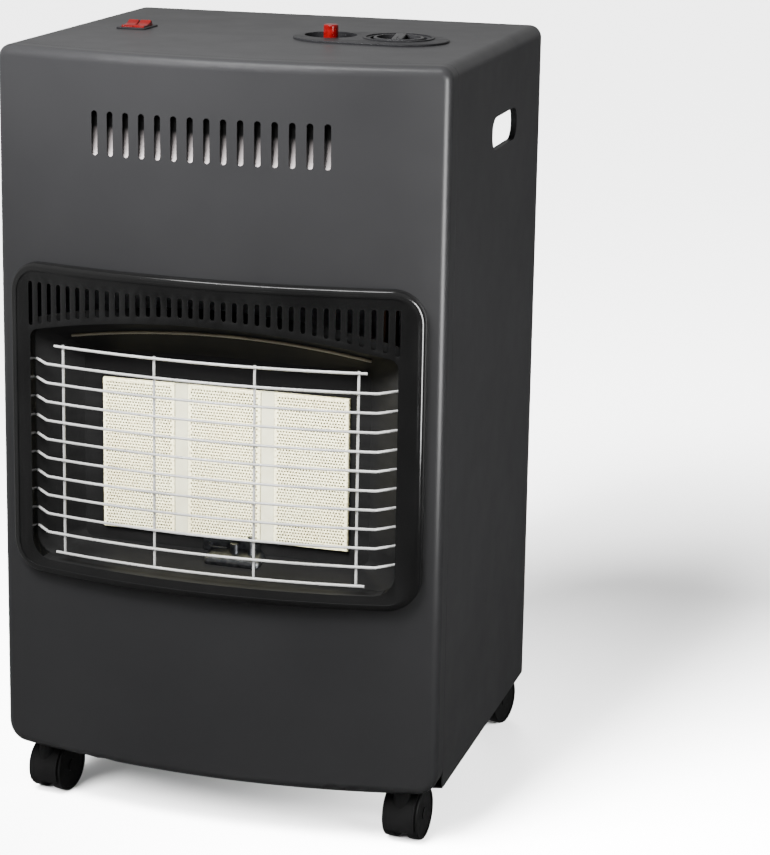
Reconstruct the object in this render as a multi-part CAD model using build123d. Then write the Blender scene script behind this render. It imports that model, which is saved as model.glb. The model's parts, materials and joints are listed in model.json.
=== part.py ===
from build123d import *
import os
from math import cos, pi, radians, sin, sqrt

# Portable gas cabinet heater. Millimetres, +Z up, the front faces -Y, the floor is z = 0.
# The origin is at the middle of the bounding box, on the floor.

# Cabinet
cabinet_width = 432.0
cabinet_depth = 346.0           # from the front corners to the rear edges
cabinet_top = 735.0
ground_clearance = 55.0
front_bow = 31.0                # how far the middle of the front stands ahead of its corners
sheet = 1.0                     # sheet steel of the cabinet
seam_depth = 22.0               # the front panel's return, back to its seam with the wrap
seam_gap = 0.4
top_edge_radius = 12.0
front_edge_radius = 9.5
lower_corner_radius = 20.0
lower_flange = 26.0
rear_flange = 12.0
rear_top_flange = 34.0
fit_gap = 0.3                   # clearance between separate sheet parts
shaft_gap = 0.05                # radial clearance of a shaft in its bearing
tray_sheet = 1.2
tray_wall = 22.0
tray_lip_inset = 98.0           # from the cabinet's side
tray_root_inset = 75.0
tray_lip = 31.0                 # how far the tray reaches past the rear edges
screw_radius = 2.0
screw_head_radius = 3.5
screw_head = 2.0
screw_length = 7.0
screw_inset = 23.0              # from the cabinet's side
screw_slot = 1.0
screw_slot_depth = 0.8
screw_places = (80.0, 175.0, 270.0)   # behind the front corners

# Rear cover
rear_bulge = 38.0
bulge_inset = 51.0              # from the cabinet's side
bulge_back_inset = 96.0
cover_inset = 5.0
cover_bottom = 61.0
cover_top = 512.0
cover_top_border = 20.0
bulge_top_fall = 42.0
cover_sheet = 1.0
cover_vents = 9
cover_vent_pitch = 24.0
cover_vent_rows = (120.0, 140.0, 160.0, 350.0, 370.0, 390.0)
cover_vent_height = 6.0
cover_vent_width = 18.0
hem_radius = 2.5
hem_inset = 5.2
hem_rise = 1.5
cradle_x = 80.0
cradle_width = 16.0
cradle_wall = 2.0
cradle_notch = 26.0
cradle_notch_height = 14.0

# Burner surround and opening
surround_inset = 16.0           # from the cabinet's side
surround_bottom = 238.0
surround_top = 537.0
surround_corner = 30.0
surround_lead = 8.4             # how far it stands ahead of the cabinet's corners
surround_bow = 35.0
surround_sheet = 1.2
surround_edge_radius = 4.0
bead_inset = 4.5
bead_width = 2.4
bead_height = 0.8
opening_inset = 22.0            # from the surround's side
opening_bottom = 253.0
opening_shoulder = 473.0
opening_crown = 495.0
opening_low_radius = 20.0
opening_high_radius = 10.0
panel_hole_margin = 8.0         # the panel's hole inside the surround's outline
surround_slots = 35
surround_slot_width = 4.3
surround_slot_inset = 23.0      # from the surround's side to the middle of the last slot
surround_slot_top = 519.6
surround_slot_foot = 502.0
surround_slot_drop = 24.5
front_vents = 15
front_vent_span = 221.0
front_vent_width = 6.0
front_vent_drop = 52.5          # from the cabinet's top
front_vent_height = 41.0

# Burner
ring_lead = 8.0                 # the mouth of the heat box, ahead of the corners
ring_flange = 8.0
plaque_setback = 18.0           # face of the ceramic, behind the corners
plaque_proud = 4.0
plaque_margin = 20.0            # from the outer plaques to the side of the box's back
plaque_low = 278.0
plaque_high = 423.4
plaque_thick = 13.0
plaque_chamfer = 0.6
plaque_joint = 13.0
joint_recess = 1.0
plaque_clearance = 0.5
box_back_inset = 37.0           # from the side of the mouth
box_back_low = 264.0
box_back_shoulder = 448.0
box_back_crown = 452.0
box_sheet = 1.0
housing_depth = 28.0
housing_wall = 1.2
housing_ledge = 3.0
mixer_radius = 9.0
mixer_wall = 1.2
mixer_mouth_radius = 12.5
mixer_mouth_height = 12.0
mixer_low = 214.0
shield_setback = 66.0           # heat shield, behind the corners
shield_drop = 107.0             # from the cabinet's top
shield_flange = 12.0
shield_shelf = 24.0
shield_shelf_half_width = 116.0
shield_foot_inset = 24.7
shield_shoulder = 84.0
rail_low = 188.0
rail_thick = 3.0
rail_depth = 12.0
rail_half_length = 104.0
injector_radius = 5.5
injector_height = 12.0
nozzle_radius = 2.5
nozzle_reach = 4.0              # into the mixer's mouth
pipe_radius = 3.0
pilot_pipe_radius = 2.0
pipe_bend = 12.0
pipe_first_inset = 62.0         # from the cabinet's side
pipe_step_x = 12.0
pipe_front_gap = 13.0
pipe_step_y = 7.0
outlet_step = 10.0              # between the valve's outlets
outlet_radius = 4.4
outlet_length = 4.0
outlet_rise = 12.0              # above the foot of the valve
pilot_x = 12.0
pilot_z = 270.0
pilot_radius = 4.0
pilot_lead = 6.0                # the pilot's head, ahead of its bracket
pilot_line_inset = 26.0         # from the cabinet's side
pilot_line_z = 240.0
loom_lead = 3.4                 # the thin lines behind the panel, ahead of the corners
bracket_sheet = 1.2
bracket_margin = 7.0
bracket_half_height = 5.5
ferrule_radius = 2.5
electrode_x = -14.0
electrode_lead = 8.0
electrode_pin_radius = 0.8
spark_gap = 4.0
spark_lead_radius = 1.7
spark_lead_margin = 9.0         # beside the fan duct
spark_lead_y = -60.0
spark_lead_drop = 61.0          # from the cabinet's top
spark_lead_low = 245.0
thermocouple_x = 28.0
probe_radius = 2.2
probe_lead = 8.0
probe_reach = (4.0, 14.0)       # below and above its ferrule
probe_line_radius = 1.0
probe_line_inset = 32.0         # from the cabinet's side
probe_line_z = 248.0
probe_outlet_drop = 8.0         # below the other outlets

# Wire guard
wire_radius = 1.25
guard_lead = 40.0               # at the middle, ahead of the corners
guard_bow = 12.9
guard_outer_inset = 35.2        # from the side of the mouth
guard_inner_x = 48.4
guard_low = 262.0
guard_high = 461.0
guard_wires = 12
guard_short_inset = 27.0
guard_bend_inset = 18.0
guard_hook_inset = 2.0
guard_tail = 4.0
guard_bend_radius = 6.0
weld_gap = 0.05                 # between wires that cross

# Controls on the top
plate_setback = 165.0
plate_length = 150.0
plate_width = 86.0
plate_thick = 2.0
plate_margin = 3.0
knob_inset = 98.0               # from the cabinet's side
igniter_gap = 67.0              # between the knob and the igniter
plate_gap = 25.0                # between the knob and the middle of the plate
control_setback = 173.0
igniter_cup_radius = 25.0
igniter_cup_depth = 8.0
knob_cup_radius = 27.0
knob_cup_depth = 20.0
knob_ring_radius = 34.0
knob_ring_width = 3.0
ring_height = 1.0
cup_wall = 1.6
knob_radius = 24.0
knob_height = 17.0
knob_clearance = 1.0            # above the floor of its cup when it is pushed in
knob_base = 4.0
knob_rim = 3.0
grip_width = 10.0
grip_turn = 10.0
grip_fit = 6.0                  # the spindle's end below the top of the grip
knob_edge_radius = 1.0
mark_width = 1.2
mark_inner = 7.2                # from the knob's middle
mark_outer = 21.6
mark_depth = 0.5
knob_travel = 4.0
button_radius = 7.0
button_edge_radius = 1.6
button_gap = 0.4
button_proud = 10.0
button_length = 30.0
button_travel = 6.0
igniter_radius = 9.5
igniter_drop = 45.0             # from the cabinet's top
spindle_radius = 4.0
spindle_flat = 0.6              # of its radius
valve_half = 20.0
valve_drop = 39.0               # from the cabinet's top
valve_height = 28.0
valve_corner = 4.0
valve_floor = 2.0
neck_radius = 9.5
neck_bore = 7.0
spring_wire = 0.6
knob_spring_turns = 6
button_spring_turns = 5
washer_thick = 1.5
nozzle_tail_radius = 4.5
nozzle_tail = 30.0
nozzle_grooves = 3
nozzle_groove_pitch = 4.0
nozzle_groove_width = 2.0
nozzle_groove_depth = 0.5
nozzle_hex = 7.0                # half its width across flats
nozzle_hex_length = 8.0
switch_inset = 70.0             # from the cabinet's side
switch_setback = 172.0
switch_width = 30.0
switch_length = 36.0
switch_flange = 1.6
switch_corner = 2.0
switch_chamfer = 0.6
switch_depth = 26.0
switch_wall = 2.0
contact_pitch = 8.0
contact_width = 6.0
contact_thick = 0.8
contact_length = 8.0
rocker_width = 11.4
rocker_reach = 12.2
rocker_rise = 8.0
rocker_waist = 4.6
rocker_foot = 5.0
rocker_travel = 20.0
rocker_gap = 0.4
pivot_radius = 1.2
pivot_drop = 2.0
hold_setback = 154.0
hold_length = 95.0
hold_drop = 67.0                # from the cabinet's top
hold_height = 31.0
hold_radius = 14.0
hold_lip = 5.0
gland_inset = 66.0              # from the cabinet's side
gland_drop = 19.0               # from the cabinet's top
gland_radius = 7.0
gland_bore = 3.7
gland_head = 10.0
gland_head_length = 6.0
gland_length = 16.0
gland_nut = 4.0

# Fan heater behind the upper vents
duct_half_width = 118.0
duct_drop = 33.0                # from the cabinet's top
duct_lead = 16.0
duct_setback = 74.0
duct_sheet = 1.0
duct_inlet = 30.0
duct_inlet_inset = 8.0
fan_radius = 22.0
fan_half_length = 95.0
fan_blades = 20
fan_setback = 42.0
fan_shaft_radius = 3.0
fan_disc = 1.5
blade_thick = 0.8
blade_width = 5.0
blade_turn = 55.0
blade_inset = 3.2
bush_radius = 6.0
bush_proud = 3.0
motor_half = 23.0
motor_stack = 16.0
motor_length = 38.0
motor_gap = 10.0                # between the duct and the stack
motor_plate = 1.5
motor_post_radius = 2.5
motor_post_inset = 5.0
motor_coil_half = 12.0
motor_coil_drop = 8.0
motor_coil_overhang = 2.0
element_setback = -6.0
element_depth = 14.0
element_half_width = 108.0
element_frame = 3.0
element_fins = 36
element_fin_thick = 0.8
element_bars = 3
element_bar_radius = 3.5
terminal_x = 55.0
terminal_length = 50.0
terminal_depth = 18.0
terminal_height = 14.0
terminal_holes = 5
terminal_pitch = 9.5
terminal_hole_radius = 1.8
terminal_hole_depth = 8.0

# Castors
wheel_radius = 25.0
castor_half_width = 17.5
wheel_inner_x = 5.5
wheel_rim = 3.5
wheel_disc = 3.0
wheel_edge_radius = 1.2
wheel_dish = 0.8
hub_radius = 6.0
castor_trail = 17.0
castor_inset = 36.0             # from the cabinet's side
castor_front_inset = 13.0
castor_rear_inset = 21.0
castor_turns = {"front_left": -8.0, "front_right": -3.0, "rear_left": -5.0, "rear_right": -12.0}
hood_gap = 0.9
hood_wall = 1.8
hood_half_width = 14.8
web_half_width = 4.9
hood_front_angle = -25.0
hood_rear_angle = 150.0
axle_radius = 2.5
axle_half_length = 15.8
stem_radius = 4.0
stem_top = 84.0
stem_foot = 30.0
collar_radius = 6.3
collar_height = 2.4
socket_radius = 7.5
socket_flange_radius = 12.0
socket_flange = 2.0

# Worked out from the sizes above
half_width = cabinet_width / 2
screw_x = half_width - screw_inset
bulge_half_width = half_width - bulge_inset
bulge_back_half_width = half_width - bulge_back_inset
cover_half_width = half_width - cover_inset
tray_lip_half_width = half_width - tray_lip_inset
tray_root_half_width = half_width - tray_root_inset
surround_half_width = half_width - surround_inset
surround_slot_span = 2 * (surround_half_width - surround_slot_inset)
opening_half_width = surround_half_width - opening_inset
box_back_half_width = opening_half_width - box_back_inset
guard_outer_x = opening_half_width - guard_outer_inset
guard_short_x = opening_half_width - guard_short_inset
guard_bend_x = opening_half_width - guard_bend_inset
guard_hook_x = opening_half_width - guard_hook_inset
knob_x = half_width - knob_inset
igniter_x = knob_x - igniter_gap
plate_x = knob_x - plate_gap
switch_x = switch_inset - half_width
gland_x = gland_inset - half_width
castor_x = half_width - castor_inset
pipe_first_x = half_width - pipe_first_inset
pilot_line_x = half_width - pilot_line_inset
probe_line_x = half_width - probe_line_inset
front_vent_high = cabinet_top - front_vent_drop
front_vent_low = front_vent_high - front_vent_height
shield_top = cabinet_top - shield_drop
duct_high = cabinet_top - duct_drop
spark_lead_high = cabinet_top - spark_lead_drop
igniter_low = cabinet_top - igniter_drop
valve_high = cabinet_top - valve_drop
valve_low = valve_high - valve_height
hold_high = cabinet_top - hold_drop
hold_low = hold_high - hold_height
gland_z = cabinet_top - gland_drop
front_reach = surround_lead + surround_bow
corner_y = -(cabinet_depth + rear_bulge - front_reach - bead_height) / 2
rear_y = corner_y + cabinet_depth
bulge_y = rear_y + rear_bulge
inner_half = half_width - sheet - fit_gap
shield_foot_half_width = inner_half - shield_foot_inset
tray_low = ground_clearance + sheet + fit_gap
tray_top = tray_low + tray_sheet
ring_y = corner_y - ring_lead
plaque_y = corner_y + plaque_setback
box_back_y = plaque_y + plaque_proud
shield_y = corner_y + shield_setback
housing_y = box_back_y + box_sheet + fit_gap
ledge_y = plaque_y + plaque_thick
housing_back_y = housing_y + housing_depth
mixer_y = (ledge_y + housing_wall + housing_back_y) / 2
plaque_span = box_back_half_width - plaque_margin
plaque_width = (2 * plaque_span - 2 * plaque_joint) / 3
plaque_pitch = plaque_width + plaque_joint
plaque_centres = {"left": -plaque_pitch, "centre": 0.0, "right": plaque_pitch}
control_y = corner_y + control_setback
plate_y = corner_y + plate_setback
plate_top = cabinet_top + plate_thick
knob_floor = plate_top - knob_cup_depth
igniter_floor = plate_top - igniter_cup_depth
knob_low = knob_floor + knob_travel + knob_clearance
neck_top = knob_floor - cup_wall
neck_low = valve_high - valve_floor
washer_low = neck_low + knob_travel + 2 * spring_wire * (knob_spring_turns + 1)
valve_side = knob_x + valve_half
valve_back = control_y + valve_half
outlet_x = valve_side + outlet_length
outlet_z = valve_low + outlet_rise
probe_outlet_z = outlet_z - probe_outlet_drop
injector_low = rail_low + rail_thick
pipe_z = injector_low + injector_height / 2
pipe_end_y = mixer_y - injector_radius - pipe_bend / 2
rise_y = box_back_y + pipe_bend - box_sheet
loom_y = corner_y - loom_lead
bracket_y = box_back_y - bracket_sheet
tail_y = box_back_y + 2 * box_sheet
button_top = plate_top + button_proud
button_low = button_top - button_length
button_well = button_low - button_travel - 2 * spring_wire * (button_spring_turns + 1)
pivot_z = cabinet_top - pivot_drop
rocker_offset = rocker_width / 2 + rocker_gap
duct_front = corner_y - duct_lead
duct_back = corner_y + duct_setback
hem_y = bulge_y - hem_inset
hem_z = cover_bottom + hem_rise
fan_y = corner_y + fan_setback
fan_z = (shield_top + duct_high) / 2
switch_y = corner_y + switch_setback
panel_radius = (half_width ** 2 + front_bow ** 2) / (2 * front_bow)
surround_radius = (half_width ** 2 + surround_bow ** 2) / (2 * surround_bow)
guard_radius = (guard_outer_x ** 2 + guard_bow ** 2) / (2 * guard_bow)
castor_setbacks = {"front": castor_front_inset, "rear": cabinet_depth - castor_rear_inset}
clear = 200.0                   # well past any piece, for cuts that go right through
past = 1.0                      # just past a face, for cuts and roots that end there


def block(x0, x1, y0, y1, z0, z1):
    return Pos((x0 + x1) / 2, (y0 + y1) / 2, (z0 + z1) / 2) * Box(x1 - x0, y1 - y0, z1 - z0)


def rod(radius, start, end):
    path = Line(start, end)
    return extrude(Plane(origin=start, z_dir=path % 0) * Circle(radius), path.length)


def post(radius, x, y, low, high):
    return rod(radius, (x, y, low), (x, y, high))


def pipe(radius, points, bend):
    path = FilletPolyline(*points, radius=bend)
    return sweep(Plane(origin=path @ 0, z_dir=path % 0) * Circle(radius), path)


def spring(wire, radius, low, high, turns, x, y):
    """A compression spring that stands on its low end."""
    height = high - low - 2 * wire
    coil = Helix(pitch=height / turns, height=height, radius=radius - wire)
    coil = sweep(Plane(origin=coil @ 0, z_dir=coil % 0) * Circle(wire), coil, is_frenet=True)
    return Pos(x, y, low + wire) * coil


def upright(y):
    return Plane(origin=(0, y, 0), x_dir=(1, 0, 0), z_dir=(0, -1, 0))


def slab(face, front, back):
    """A face drawn in X and Z, given depth from front to back."""
    return extrude(upright(back) * face, back - front)


def side_slab(face, x0, x1):
    """A face drawn in Y and Z, given width from x0 to x1."""
    return extrude(Plane(origin=(x0, 0, 0), x_dir=(0, 1, 0), z_dir=(1, 0, 0)) * face, x1 - x0)


def behind(radius, middle_y):
    """All that lies behind a bowed front whose middle is at middle_y."""
    return Pos(0, middle_y + radius, 0) * Cylinder(radius, 4 * cabinet_top)


def behind_panel(inset):
    return behind(panel_radius - inset, corner_y - front_bow + inset)


def behind_surround(inset):
    return behind(surround_radius - inset, corner_y - front_reach + inset)


def outline(half, low, high, low_radius, high_radius):
    face = Pos(0, (low + high) / 2) * Rectangle(2 * half, high - low)
    if high_radius:
        face = fillet(face.vertices().group_by(Axis.Y)[-1], high_radius)
    if low_radius:
        face = fillet(face.vertices().group_by(Axis.Y)[0], low_radius)
    return face


def arched(half, low, shoulder, crown):
    """A window with a straight foot and an arched head."""
    edges = Line((-half, low), (half, low)) + Line((half, low), (half, shoulder))
    edges += ThreePointArc((half, shoulder), (0, crown), (-half, shoulder))
    edges += Line((-half, shoulder), (-half, low))
    return make_face(edges)


def opening(inset=0.0):
    face = arched(opening_half_width - inset, opening_bottom + inset,
                  opening_shoulder - inset, opening_crown - inset)
    face = fillet(face.vertices().group_by(Axis.Y)[-1], opening_high_radius - inset)
    return fillet(face.vertices().group_by(Axis.Y)[0], opening_low_radius - inset)


def box_back(inset=0.0):
    face = arched(box_back_half_width - inset, box_back_low + inset,
                  box_back_shoulder - inset, box_back_crown - inset)
    face = fillet(face.vertices().group_by(Axis.Y)[-1], opening_high_radius - inset)
    return fillet(face.vertices().group_by(Axis.Y)[0], opening_low_radius / 2 - inset)


def panel_space(inset):
    """The space inside the cabinet's front shell, at a distance inside its skin."""
    face = outline(half_width - inset, ground_clearance + inset, cabinet_top - inset,
                   lower_corner_radius - inset, top_edge_radius - inset)
    space = slab(face, corner_y - clear, rear_y + rear_bulge) & behind_panel(inset)
    front = space.faces().sort_by(Axis.Y)[0]
    return fillet(front.edges(), front_edge_radius - inset)


def vent_holes(count, span, width, low, high):
    holes = Sketch()
    for i in range(count):
        x = span * (i / (count - 1) - 0.5)
        holes += Pos(x, (low + high) / 2) * SlotOverall(high - low, width, rotation=90)
    return holes


def front_panel():
    panel = panel_space(0) - panel_space(sheet) - behind_panel(seam_depth)
    hole = outline(surround_half_width - panel_hole_margin, surround_bottom + panel_hole_margin,
                   surround_top - panel_hole_margin, surround_corner - panel_hole_margin,
                   surround_corner - panel_hole_margin)
    panel -= slab(hole, corner_y - clear, corner_y + seam_depth)
    for x, y in stems().values():
        panel -= post(collar_radius + fit_gap, x, y, 0, tray_low)
    vents = vent_holes(front_vents, front_vent_span, front_vent_width, front_vent_low, front_vent_high)
    return panel - slab(vents, corner_y - clear, corner_y)


def wrap_outline(inset, low):
    return outline(half_width - inset, low, cabinet_top - inset, 0, top_edge_radius - inset)


def hand_hold(margin):
    middle = corner_y + hold_setback + hold_length / 2
    face = RectangleRounded(hold_length + 2 * margin, hold_height + 2 * margin, hold_radius + margin)
    return Pos(middle, (hold_low + hold_high) / 2) * face


def tray_screws():
    return [(side * screw_x, corner_y + place) for side in (-1, 1) for place in screw_places]


def cabinet_wrap():
    front = corner_y - clear
    wrap = slab(wrap_outline(0, ground_clearance), front, rear_y)
    wrap -= slab(wrap_outline(sheet, 0), front, rear_y)
    rear_face = wrap_outline(0, ground_clearance)
    rear_face -= outline(half_width - rear_flange, 0, cabinet_top - rear_top_flange, 0, 0)
    wrap += slab(rear_face, rear_y - sheet, rear_y)
    for side in (-1, 1):
        inner, outer = sorted((side * (half_width - lower_flange), side * half_width))
        wrap += block(inner, outer, front, rear_y, ground_clearance, ground_clearance + sheet)
        x0, x1 = sorted((side * (half_width - sheet - hold_lip), side * (half_width - sheet)))
        wrap += side_slab(hand_hold(sheet) - hand_hold(0), x0, x1)
    wrap &= behind_panel(seam_depth + seam_gap)
    wrap -= side_slab(hand_hold(0), -clear * 2, clear * 2)
    wrap -= Pos(plate_x, plate_y, cabinet_top) * extrude(
        SlotOverall(plate_length - 2 * plate_margin, plate_width - 2 * plate_margin), sheet, both=True)
    switch_hole_width = switch_width - 2 * switch_wall + 2 * fit_gap
    switch_hole_length = switch_length - 2 * switch_wall + 2 * fit_gap
    wrap -= Pos(switch_x, switch_y, cabinet_top) * Box(switch_hole_width, switch_hole_length, 3 * sheet)
    wrap -= rod(gland_radius + fit_gap, (gland_x, rear_y - 2 * sheet, gland_z),
                (gland_x, rear_y + sheet, gland_z))
    for x, y in tray_screws():
        wrap -= post(screw_radius + fit_gap, x, y, ground_clearance - sheet, ground_clearance + 2 * sheet)
    return wrap


def trapezoid(points, low, high):
    face = make_face(Polyline(*points, close=True))
    return extrude(Plane.XY.offset(low) * face, high - low)


def mirrored_points(points):
    """The points and their mirror images in X, in order round the shape."""
    return list(points) + [(-x, y) for x, y in reversed(points)]


def stems():
    """Each castor's name and the place of its stem."""
    places = {}
    for end, setback in castor_setbacks.items():
        for side, sign in (("left", -1), ("right", 1)):
            places[f"{end}_{side}"] = (sign * castor_x, corner_y + setback)
    return places


def base_tray():
    skin = sheet + fit_gap
    tray = panel_space(skin) - panel_space(skin + tray_sheet)
    tray &= block(-half_width, half_width, corner_y - clear, rear_y - skin, 0, tray_low + tray_wall)
    lip = mirrored_points([(tray_root_half_width, rear_y - lower_flange), (tray_root_half_width, rear_y),
                           (tray_lip_half_width, rear_y + tray_lip)])
    tray += trapezoid(lip, tray_low, tray_top)
    for side in (-1, 1):
        tray += block(side * cradle_x - cradle_width / 2, side * cradle_x + cradle_width / 2,
                      rear_y, hem_y + hem_radius + cradle_wall, tray_low, tray_top)
    for x, y in stems().values():
        tray -= post(stem_radius + past, x, y, 0, tray_top + past)
    for x, y in tray_screws():
        tray -= post(screw_radius + fit_gap / 2, x, y, 0, tray_top + past)
    return tray


def screws():
    group = Part()
    for x, y in tray_screws():
        head = post(screw_head_radius, x, y, ground_clearance - screw_head, ground_clearance)
        for long, wide in ((screw_head_radius, screw_slot), (screw_slot, screw_head_radius)):
            head -= Pos(x, y, ground_clearance - screw_head) * Box(long, wide, 2 * screw_slot_depth)
        group += head + post(screw_radius, x, y, ground_clearance - screw_head / 2,
                             ground_clearance + screw_length)
    return group


def heat_shield():
    low = tray_top + fit_gap
    edge = [(shield_foot_half_width, low), (inner_half, shield_shoulder), (inner_half, shield_top)]
    face = make_face(Polyline(*mirrored_points(edge), close=True))
    shield = slab(face, shield_y, shield_y + sheet)
    for side in (-1, 1):
        x0, x1 = sorted((side * (inner_half - sheet), side * inner_half))
        shield += block(x0, x1, shield_y, shield_y + shield_flange, shield_shoulder, shield_top)
    return shield + block(-shield_shelf_half_width, shield_shelf_half_width, shield_y - shield_shelf,
                          shield_y + sheet, shield_top - sheet, shield_top)


def bulge(inset, front, low):
    """The rear cover's raised middle, which makes room for a round cylinder."""
    side_slope = (bulge_half_width - bulge_back_half_width) / rear_bulge
    top_slope = bulge_top_fall / rear_bulge
    back = bulge_y - inset

    def half(y):
        return bulge_half_width - inset * sqrt(1 + side_slope ** 2) - side_slope * (y - rear_y)

    def top(y):
        return cover_top - cover_top_border - inset * sqrt(1 + top_slope ** 2) - top_slope * (y - rear_y)

    plan = trapezoid(mirrored_points([(half(front), front), (half(back), back)]), low, cover_top + clear)
    corners = [(front, low), (back, low), (back, top(back)), (front, top(front))]
    profile = make_face(Polyline(*corners, close=True))
    return plan & side_slab(profile, -half_width, half_width)


def rear_cover():
    front = rear_y + fit_gap
    cover = block(-cover_half_width, cover_half_width, front, front + cover_sheet, cover_bottom, cover_top)
    cover += bulge(0, front, cover_bottom)
    cover -= bulge(cover_sheet, front - past, cover_bottom - past)
    vents = Sketch()
    for row in cover_vent_rows:
        for i in range(cover_vents):
            x = cover_vent_pitch * (i - (cover_vents - 1) / 2)
            vents += Pos(x, row) * SlotOverall(cover_vent_width, cover_vent_height)
    cover -= slab(vents, bulge_y - 2 * cover_sheet, bulge_y + cover_sheet)
    hem_half = bulge_back_half_width - 2 * hem_radius - cover_sheet
    cover += block(-hem_half, hem_half, hem_y, bulge_y, hem_z - cover_sheet / 2, hem_z + cover_sheet / 2)
    for side in (-1, 1):
        cover -= block(side * cradle_x - cradle_notch / 2, side * cradle_x + cradle_notch / 2,
                       hem_y + hem_radius / 2, bulge_y + past,
                       cover_bottom - past, cover_bottom + cradle_notch_height)
    return cover + rod(hem_radius, (-hem_half, hem_y, hem_z), (hem_half, hem_y, hem_z))


def cover_cradles():
    group = Part()
    reach = hem_radius + cradle_wall
    seat = hem_radius + 2 * shaft_gap
    for side in (-1, 1):
        x0 = side * cradle_x - cradle_width / 2
        x1 = side * cradle_x + cradle_width / 2
        cradle = block(x0, x1, hem_y - reach, hem_y + reach, tray_top, hem_z + hem_radius / 2)
        cradle += block(x0, x1, hem_y - 4 * reach, hem_y, tray_top, tray_top + tray_sheet)
        cradle -= rod(seat, (x0 - past, hem_y, hem_z), (x1 + past, hem_y, hem_z))
        cradle -= block(x0 - past, x1 + past, hem_y - seat, hem_y + seat, hem_z, hem_z + clear)
        group += cradle
    return group


def surround_outline(inset):
    half = surround_half_width - inset
    corner = surround_corner - inset
    return outline(half, surround_bottom + inset, surround_top - inset, corner, corner)


def surround_space(inset):
    space = slab(surround_outline(inset), corner_y - clear, corner_y + seam_depth) & behind_surround(inset)
    front = space.faces().sort_by(Axis.Y)[0]
    return fillet(front.edges(), surround_edge_radius - inset)


def burner_surround():
    surround = surround_space(0) - surround_space(surround_sheet) - behind_panel(-fit_gap)
    bead = surround_outline(bead_inset) - surround_outline(bead_inset + bead_width)
    bead = slab(bead, corner_y - clear, corner_y) & behind_surround(-bead_height)
    surround += bead - behind_surround(surround_sheet / 2)
    surround -= slab(opening(), corner_y - clear, ring_y)
    rim = slab(opening(-surround_sheet) - opening(), corner_y - clear, ring_y)
    surround += rim & behind_surround(surround_sheet / 2)
    slots = Sketch()
    for i in range(surround_slots):
        x = surround_slot_span * (i / (surround_slots - 1) - 0.5)
        foot = surround_slot_foot - surround_slot_drop * (2 * x / surround_slot_span) ** 2
        slots += Pos(x, (foot + surround_slot_top) / 2) * SlotOverall(
            surround_slot_top - foot, surround_slot_width, rotation=90)
    return surround - slab(slots, corner_y - clear, corner_y)


def guard_y(x, behind=0.0):
    """How far back the bowed wires lie at x, or a line that follows them from behind."""
    return corner_y - guard_lead + guard_radius - sqrt((guard_radius - behind) ** 2 - x ** 2)


def guard_heights():
    return [guard_low + (guard_high - guard_low) * i / (guard_wires - 1) for i in range(guard_wires)]


def hook_ends(side, z):
    """Where a guard wire bends back, and where its tail ends behind the wall of the heat box."""
    bend = Vector(side * guard_bend_x, guard_y(guard_bend_x), z)
    wall = Vector(side * guard_hook_x, ring_y, z)
    return bend, wall + (wall - bend).normalized() * guard_tail


def heat_box():
    box_end_y = box_back_y + box_sheet
    box = loft([upright(ring_y) * opening(-box_sheet), upright(box_end_y) * box_back(-box_sheet)])
    box += slab(opening(-ring_flange), ring_y, ring_y + box_sheet)
    box -= loft([upright(ring_y) * opening(), upright(box_back_y) * box_back()])
    half = plaque_span + plaque_clearance
    box -= block(-half, half, box_back_y - past, box_end_y + past,
                 plaque_low - plaque_clearance, plaque_high + plaque_clearance)
    for z in guard_heights()[1:-1]:
        for side in (-1, 1):
            bend, tail = hook_ends(side, z)
            box -= rod(wire_radius + fit_gap, bend, tail)
    for x in (pilot_x, electrode_x, thermocouple_x):
        box -= rod(ferrule_radius + fit_gap, (x, box_back_y - past, pilot_z), (x, tail_y, pilot_z))
    return box


def wire_along(path):
    return sweep(Plane(origin=path @ 0, z_dir=path % 0) * Circle(wire_radius), path)


def short_wire(z):
    end = Vector(guard_short_x, guard_y(guard_short_x), z)
    return wire_along(ThreePointArc((-end.X, end.Y, z), (0, guard_y(0), z), end))


def hooked_wire(z):
    """A bowed wire whose ends bend back into the walls of the heat box."""
    left_bend, left_tail = hook_ends(-1, z)
    right_bend, right_tail = hook_ends(1, z)
    path = Line(left_tail, left_bend) + ThreePointArc(left_bend, (0, guard_y(0), z), right_bend)
    path += Line(right_bend, right_tail)
    bends = path.vertices().sort_by(Axis.X)[1:-1]
    return wire_along(fillet(bends, guard_bend_radius))


def wire_guard():
    """Twelve bowed wires, and four upright ones spot-welded behind them."""
    heights = guard_heights()
    wires = [short_wire(heights[0]), short_wire(heights[-1])]
    wires += [hooked_wire(z) for z in heights[1:-1]]
    for x in (guard_outer_x, guard_inner_x):
        for side in (-1, 1):
            wires.append(post(wire_radius, side * x, guard_y(x, 2 * wire_radius + weld_gap),
                              guard_low - wire_radius, guard_high + wire_radius))
    return Compound([solid for wire in wires for solid in wire.solids()])


def plaque(name):
    x = plaque_centres[name]
    tile = block(x - plaque_width / 2, x + plaque_width / 2, plaque_y, ledge_y, plaque_low, plaque_high)
    return chamfer(tile.faces().sort_by(Axis.Y)[0].edges(), plaque_chamfer)


def joint_strips():
    group = Part()
    half = plaque_joint / 2 - fit_gap
    for side in (-1, 1):
        x = side * plaque_pitch / 2
        group += block(x - half, x + half, plaque_y + joint_recess, housing_y, plaque_low, plaque_high)
    return group


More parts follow.
